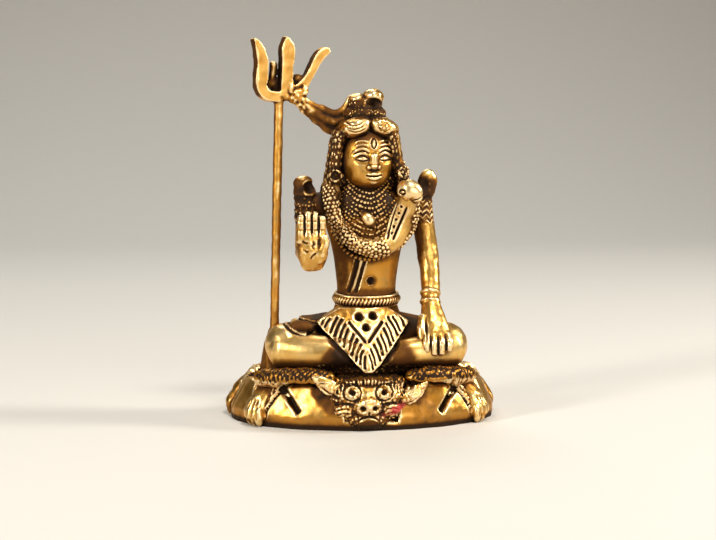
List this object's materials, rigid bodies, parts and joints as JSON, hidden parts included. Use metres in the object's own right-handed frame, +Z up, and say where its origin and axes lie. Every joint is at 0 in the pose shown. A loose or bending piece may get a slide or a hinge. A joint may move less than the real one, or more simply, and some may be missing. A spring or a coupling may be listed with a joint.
{
  "type": "shiva figure",
  "caption": "Small cast-brass seated Shiva on a tiger-skin rock, with a trident at the right knee, a cobra round the neck, and the right hand raised in blessing.",
  "frame": {"origin": "on the ground under the middle of the figure's bounding box", "axes": "+X to the figure's left hand, +Y to its back, +Z up"},
  "size_m": [0.073, 0.051, 0.101],
  "materials": {
    "brass": "cast brass, polished on the high places, with a dark brown patina left in the recesses"
  },
  "bodies": {
    "root": {"shiva_figure": "brass"}
  },
  "joints": []
}
